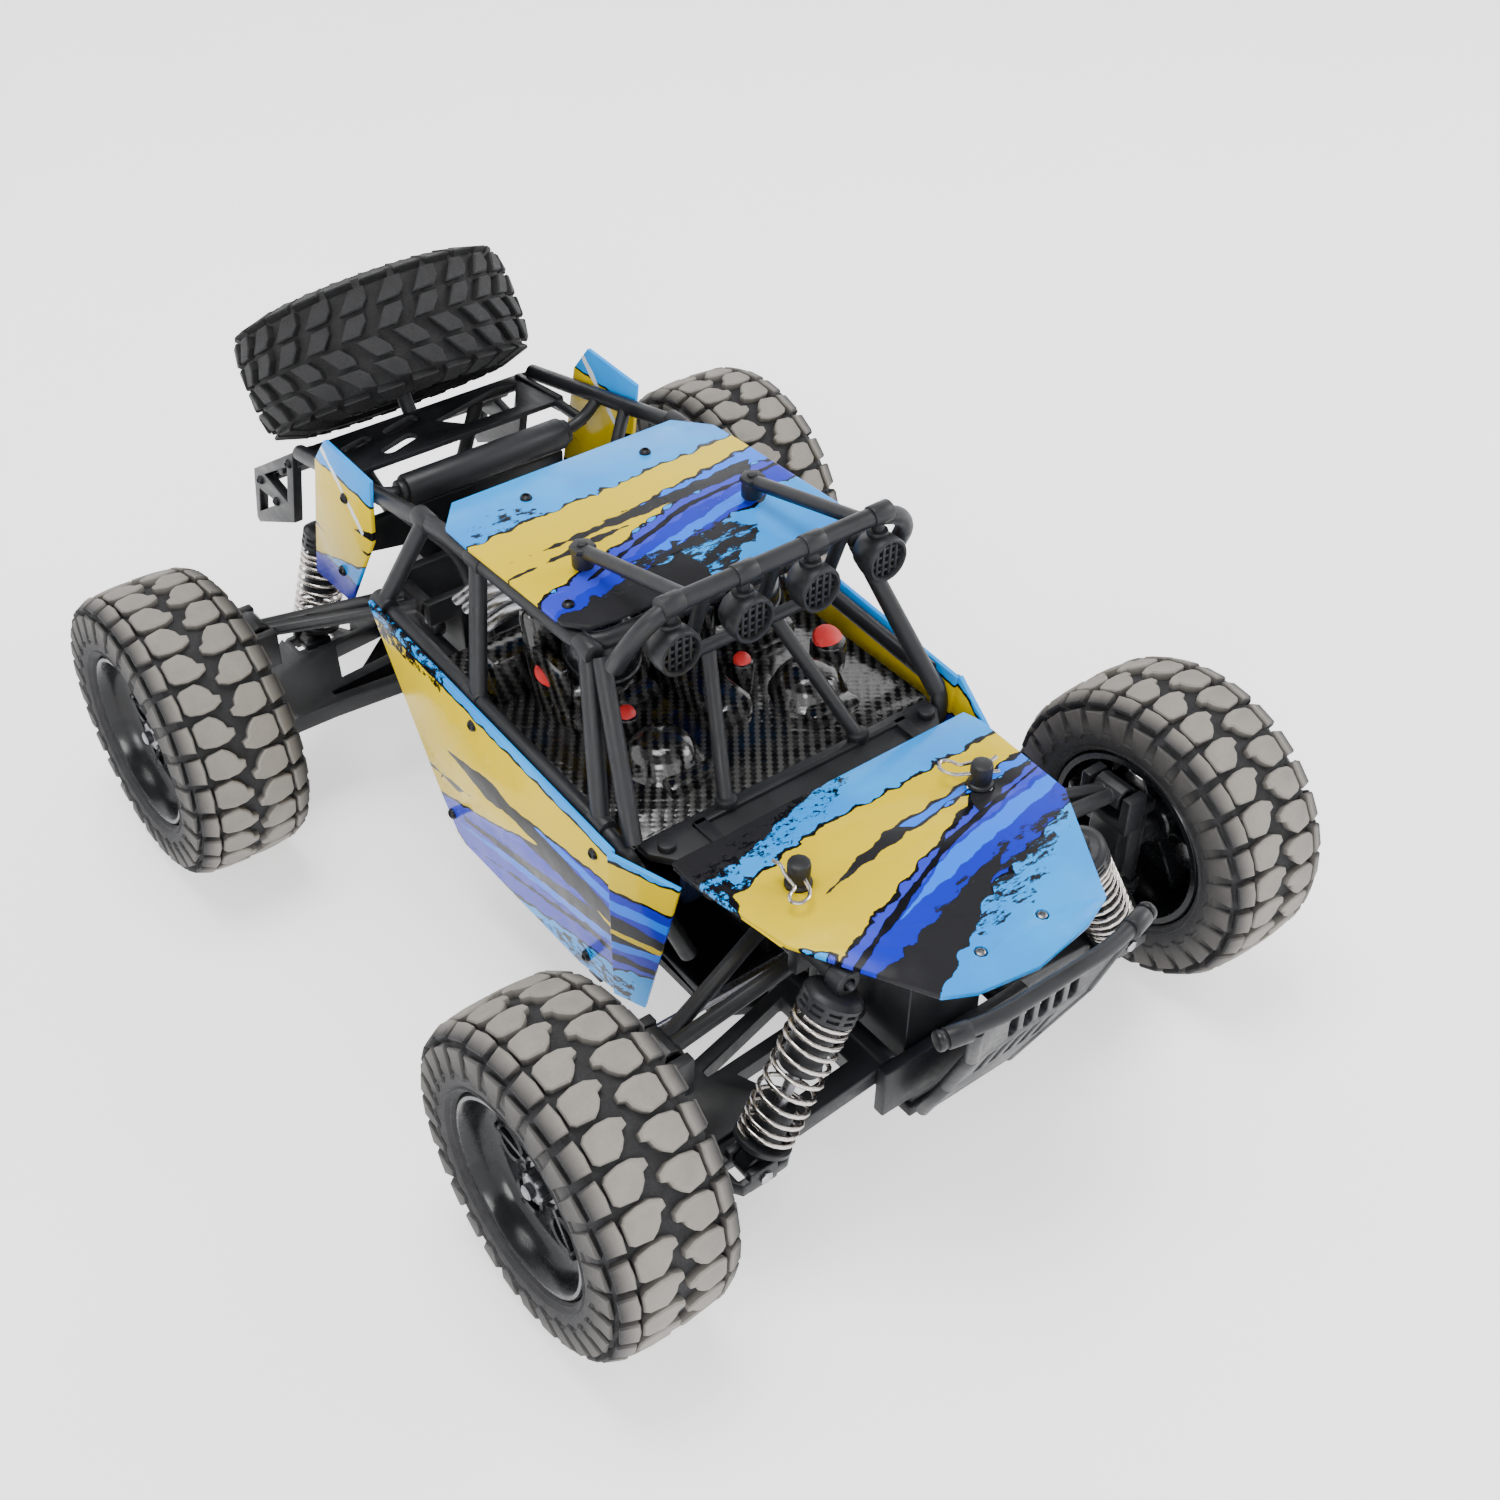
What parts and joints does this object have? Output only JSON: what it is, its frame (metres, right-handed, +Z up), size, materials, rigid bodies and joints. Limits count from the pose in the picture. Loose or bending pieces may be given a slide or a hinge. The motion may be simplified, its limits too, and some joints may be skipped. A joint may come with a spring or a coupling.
{
  "type": "remote control car",
  "caption": "Desert buggy style remote control car with a tube cage, printed body panels, double wishbone suspension, steered front wheels and a spare wheel on a sloping rear rack.",
  "frame": {"origin": "on the ground below the middle of the car's box", "axes": "+Z up, -Y towards the car's front, +X towards the car's left side"},
  "size_m": [0.242, 0.3512, 0.1568],
  "materials": {
    "battery_wrap": "shrink film",
    "black_plastic": "satin moulded plastic, fine grain",
    "cockpit_film": "gloss vacuum-formed sheet with a printed weave",
    "gloss_black": "gloss moulded plastic",
    "motor_can": "rolled steel can",
    "printed_panel": "gloss printed sheet, sky blue and yellow with torn dark stripes",
    "steel": "bright spring and shaft steel",
    "tyre_rubber": "matte rubber with worn tread blocks"
  },
  "bodies": {
    "chassis": {"battery_pack": "battery_wrap", "cage_left": "black_plastic", "cage_right": "black_plastic", "chassis_tub": "black_plastic", "cockpit_tub": "cockpit_film", "control_unit": "black_plastic", "cowl_plate": "black_plastic", "fin_left": "printed_panel", "fin_right": "printed_panel", "front_bumper": "black_plastic", "front_gearbox": "black_plastic", "hood_panel": "printed_panel", "light_bar": "black_plastic", "motor": "motor_can", "rear_gearbox": "black_plastic", "rear_rack": "black_plastic", "roof_panel": "printed_panel", "side_panel_left": "printed_panel", "side_panel_right": "printed_panel", "spare_rim": "gloss_black", "spare_tyre": "tyre_rubber", "steering_servo": "black_plastic"},
    "steering_link": {"steering_link": "black_plastic"},
    "lower_arm_front_left": {"lower_arm_front_left": "black_plastic"},
    "upper_arm_front_left": {"upper_arm_front_left": "black_plastic"},
    "steering_hub_front_left": {"steering_hub_front_left": "black_plastic"},
    "knuckle_front_left": {"knuckle_front_left": "black_plastic"},
    "tie_rod_left": {"tie_rod_left": "steel"},
    "wheel_front_left": {"tyre_front_left": "tyre_rubber", "rim_front_left": "gloss_black"},
    "shock_body_front_left": {"shock_body_front_left": "black_plastic", "spring_front_left": "steel"},
    "shock_shaft_front_left": {"shock_shaft_front_left": "steel"},
    "lower_arm_front_right": {"lower_arm_front_right": "black_plastic"},
    "upper_arm_front_right": {"upper_arm_front_right": "black_plastic"},
    "steering_hub_front_right": {"steering_hub_front_right": "black_plastic"},
    "knuckle_front_right": {"knuckle_front_right": "black_plastic"},
    "tie_rod_right": {"tie_rod_right": "steel"},
    "wheel_front_right": {"tyre_front_right": "tyre_rubber", "rim_front_right": "gloss_black"},
    "shock_body_front_right": {"shock_body_front_right": "black_plastic", "spring_front_right": "steel"},
    "shock_shaft_front_right": {"shock_shaft_front_right": "steel"},
    "lower_arm_rear_left": {"lower_arm_rear_left": "black_plastic"},
    "upper_arm_rear_left": {"upper_arm_rear_left": "black_plastic"},
    "rear_hub_rear_left": {"rear_hub_rear_left": "black_plastic"},
    "wheel_rear_left": {"tyre_rear_left": "tyre_rubber", "rim_rear_left": "gloss_black"},
    "shock_body_rear_left": {"shock_body_rear_left": "black_plastic", "spring_rear_left": "steel"},
    "shock_shaft_rear_left": {"shock_shaft_rear_left": "steel"},
    "lower_arm_rear_right": {"lower_arm_rear_right": "black_plastic"},
    "upper_arm_rear_right": {"upper_arm_rear_right": "black_plastic"},
    "rear_hub_rear_right": {"rear_hub_rear_right": "black_plastic"},
    "wheel_rear_right": {"tyre_rear_right": "tyre_rubber", "rim_rear_right": "gloss_black"},
    "shock_body_rear_right": {"shock_body_rear_right": "black_plastic", "spring_rear_right": "steel"},
    "shock_shaft_rear_right": {"shock_shaft_rear_right": "steel"}
  },
  "joints": [
    {"name": "steering_slide", "type": "slide", "parent": "chassis", "child": "steering_link", "axis": [1, 0, 0], "range_m": [-0.007, 0.007]},
    {"name": "suspension_front_left", "type": "hinge", "parent": "chassis", "child": "lower_arm_front_left", "pos_m": [0.02, -0.12162, 0.04], "axis": [0, -1, 0], "range_deg": [-9, 11], "stiffness_Nm_per_rad": 0.6, "springref_deg": -15.47},
    {"name": "upper_arm_front_left", "type": "hinge", "parent": "chassis", "child": "upper_arm_front_left", "pos_m": [0.033, -0.12162, 0.073], "axis": [0, -1, 0], "range_deg": [-12.37, 15.05]},
    {"name": "hub_front_left", "type": "hinge", "parent": "lower_arm_front_left", "child": "steering_hub_front_left", "pos_m": [0.079, -0.12162, 0.035], "axis": [0, -1, 0], "range_deg": [-11.3, 9.3]},
    {"name": "steer_front_left", "type": "hinge", "parent": "steering_hub_front_left", "child": "knuckle_front_left", "pos_m": [0.086, -0.12162, 0.045], "axis": [0, 0, 1], "range_deg": [-24, 24]},
    {"name": "tie_rod_left", "type": "hinge", "parent": "steering_link", "child": "tie_rod_left", "pos_m": [0.015, -0.10462, 0.052], "axis": [0, -1, 0], "range_deg": [-7.78, 9.44]},
    {"name": "wheel_front_left", "type": "hinge", "parent": "knuckle_front_left", "child": "wheel_front_left", "pos_m": [0.102, -0.12162, 0.045], "axis": [1, 0, 0], "continuous": true},
    {"name": "shock_swing_front_left", "type": "hinge", "parent": "chassis", "child": "shock_body_front_left", "pos_m": [0.0384, -0.14112, 0.0846], "axis": [0, -1, 0], "range_deg": [-4.24, 5.12]},
    {"name": "shock_slide_front_left", "type": "slide", "parent": "shock_body_front_left", "child": "shock_shaft_front_left", "axis": [-0.4653, 0, 0.8852], "range_m": [-0.00602, 0.00731], "deforming": ["spring_front_left"]},
    {"name": "suspension_front_right", "type": "hinge", "parent": "chassis", "child": "lower_arm_front_right", "pos_m": [-0.02, -0.12162, 0.04], "axis": [0, 1, 0], "range_deg": [-9, 11], "stiffness_Nm_per_rad": 0.6, "springref_deg": -15.47},
    {"name": "upper_arm_front_right", "type": "hinge", "parent": "chassis", "child": "upper_arm_front_right", "pos_m": [-0.033, -0.12162, 0.073], "axis": [0, 1, 0], "range_deg": [-12.37, 15.05]},
    {"name": "hub_front_right", "type": "hinge", "parent": "lower_arm_front_right", "child": "steering_hub_front_right", "pos_m": [-0.079, -0.12162, 0.035], "axis": [0, 1, 0], "range_deg": [-11.3, 9.3]},
    {"name": "steer_front_right", "type": "hinge", "parent": "steering_hub_front_right", "child": "knuckle_front_right", "pos_m": [-0.086, -0.12162, 0.045], "axis": [0, 0, 1], "range_deg": [-24, 24]},
    {"name": "tie_rod_right", "type": "hinge", "parent": "steering_link", "child": "tie_rod_right", "pos_m": [-0.015, -0.10462, 0.052], "axis": [0, 1, 0], "range_deg": [-7.78, 9.44]},
    {"name": "wheel_front_right", "type": "hinge", "parent": "knuckle_front_right", "child": "wheel_front_right", "pos_m": [-0.102, -0.12162, 0.045], "axis": [1, 0, 0], "continuous": true},
    {"name": "shock_swing_front_right", "type": "hinge", "parent": "chassis", "child": "shock_body_front_right", "pos_m": [-0.0384, -0.14112, 0.0846], "axis": [0, 1, 0], "range_deg": [-4.24, 5.12]},
    {"name": "shock_slide_front_right", "type": "slide", "parent": "shock_body_front_right", "child": "shock_shaft_front_right", "axis": [0.4653, 0, 0.8852], "range_m": [-0.00602, 0.00731], "deforming": ["spring_front_right"]},
    {"name": "suspension_rear_left", "type": "hinge", "parent": "chassis", "child": "lower_arm_rear_left", "pos_m": [0.02, 0.08438, 0.04], "axis": [0, -1, 0], "range_deg": [-9, 11], "stiffness_Nm_per_rad": 0.6, "springref_deg": -15.47},
    {"name": "upper_arm_rear_left", "type": "hinge", "parent": "chassis", "child": "upper_arm_rear_left", "pos_m": [0.033, 0.08438, 0.073], "axis": [0, -1, 0], "range_deg": [-12.37, 15.05]},
    {"name": "hub_rear_left", "type": "hinge", "parent": "lower_arm_rear_left", "child": "rear_hub_rear_left", "pos_m": [0.079, 0.08438, 0.035], "axis": [0, -1, 0], "range_deg": [-11.3, 9.3]},
    {"name": "wheel_rear_left", "type": "hinge", "parent": "rear_hub_rear_left", "child": "wheel_rear_left", "pos_m": [0.102, 0.08438, 0.045], "axis": [1, 0, 0], "continuous": true},
    {"name": "shock_swing_rear_left", "type": "hinge", "parent": "chassis", "child": "shock_body_rear_left", "pos_m": [0.0368, 0.10858, 0.079], "axis": [0, -1, 0], "range_deg": [-2.55, 3.05]},
    {"name": "shock_slide_rear_left", "type": "slide", "parent": "shock_body_rear_left", "child": "shock_shaft_rear_left", "axis": [-0.2675, 0, 0.9636], "range_m": [-0.00438, 0.00531], "deforming": ["spring_rear_left"]},
    {"name": "suspension_rear_right", "type": "hinge", "parent": "chassis", "child": "lower_arm_rear_right", "pos_m": [-0.02, 0.08438, 0.04], "axis": [0, 1, 0], "range_deg": [-9, 11], "stiffness_Nm_per_rad": 0.6, "springref_deg": -15.47},
    {"name": "upper_arm_rear_right", "type": "hinge", "parent": "chassis", "child": "upper_arm_rear_right", "pos_m": [-0.033, 0.08438, 0.073], "axis": [0, 1, 0], "range_deg": [-12.37, 15.05]},
    {"name": "hub_rear_right", "type": "hinge", "parent": "lower_arm_rear_right", "child": "rear_hub_rear_right", "pos_m": [-0.079, 0.08438, 0.035], "axis": [0, 1, 0], "range_deg": [-11.3, 9.3]},
    {"name": "wheel_rear_right", "type": "hinge", "parent": "rear_hub_rear_right", "child": "wheel_rear_right", "pos_m": [-0.102, 0.08438, 0.045], "axis": [1, 0, 0], "continuous": true},
    {"name": "shock_swing_rear_right", "type": "hinge", "parent": "chassis", "child": "shock_body_rear_right", "pos_m": [-0.0368, 0.10858, 0.079], "axis": [0, 1, 0], "range_deg": [-2.55, 3.05]},
    {"name": "shock_slide_rear_right", "type": "slide", "parent": "shock_body_rear_right", "child": "shock_shaft_rear_right", "axis": [0.2675, 0, 0.9636], "range_m": [-0.00438, 0.00531], "deforming": ["spring_rear_right"]}
  ],
  "couplings": [
    {"joint": "upper_arm_front_left", "follows": "suspension_front_left", "ratio": 1.3409},
    {"joint": "hub_front_left", "follows": "suspension_front_left", "ratio": -1},
    {"joint": "steer_front_left", "follows": "steering_slide", "rad_per_m": -58.824},
    {"joint": "tie_rod_left", "follows": "suspension_front_left", "ratio": 0.83099},
    {"joint": "shock_swing_front_left", "follows": "suspension_front_left", "ratio": 0.43807},
    {"joint": "shock_slide_front_left", "follows": "suspension_front_left", "m_per_rad": 0.037039},
    {"joint": "upper_arm_front_right", "follows": "suspension_front_right", "ratio": 1.3409},
    {"joint": "hub_front_right", "follows": "suspension_front_right", "ratio": -1},
    {"joint": "steer_front_right", "follows": "steering_slide", "rad_per_m": -58.824},
    {"joint": "tie_rod_right", "follows": "suspension_front_right", "ratio": 0.83099},
    {"joint": "shock_swing_front_right", "follows": "suspension_front_right", "ratio": 0.43807},
    {"joint": "shock_slide_front_right", "follows": "suspension_front_right", "m_per_rad": 0.037039},
    {"joint": "upper_arm_rear_left", "follows": "suspension_rear_left", "ratio": 1.3409},
    {"joint": "hub_rear_left", "follows": "suspension_rear_left", "ratio": -1},
    {"joint": "shock_swing_rear_left", "follows": "suspension_rear_left", "ratio": 0.24993},
    {"joint": "shock_slide_rear_left", "follows": "suspension_rear_left", "m_per_rad": 0.026621},
    {"joint": "upper_arm_rear_right", "follows": "suspension_rear_right", "ratio": 1.3409},
    {"joint": "hub_rear_right", "follows": "suspension_rear_right", "ratio": -1},
    {"joint": "shock_swing_rear_right", "follows": "suspension_rear_right", "ratio": 0.24993},
    {"joint": "shock_slide_rear_right", "follows": "suspension_rear_right", "m_per_rad": 0.026621}
  ]
}
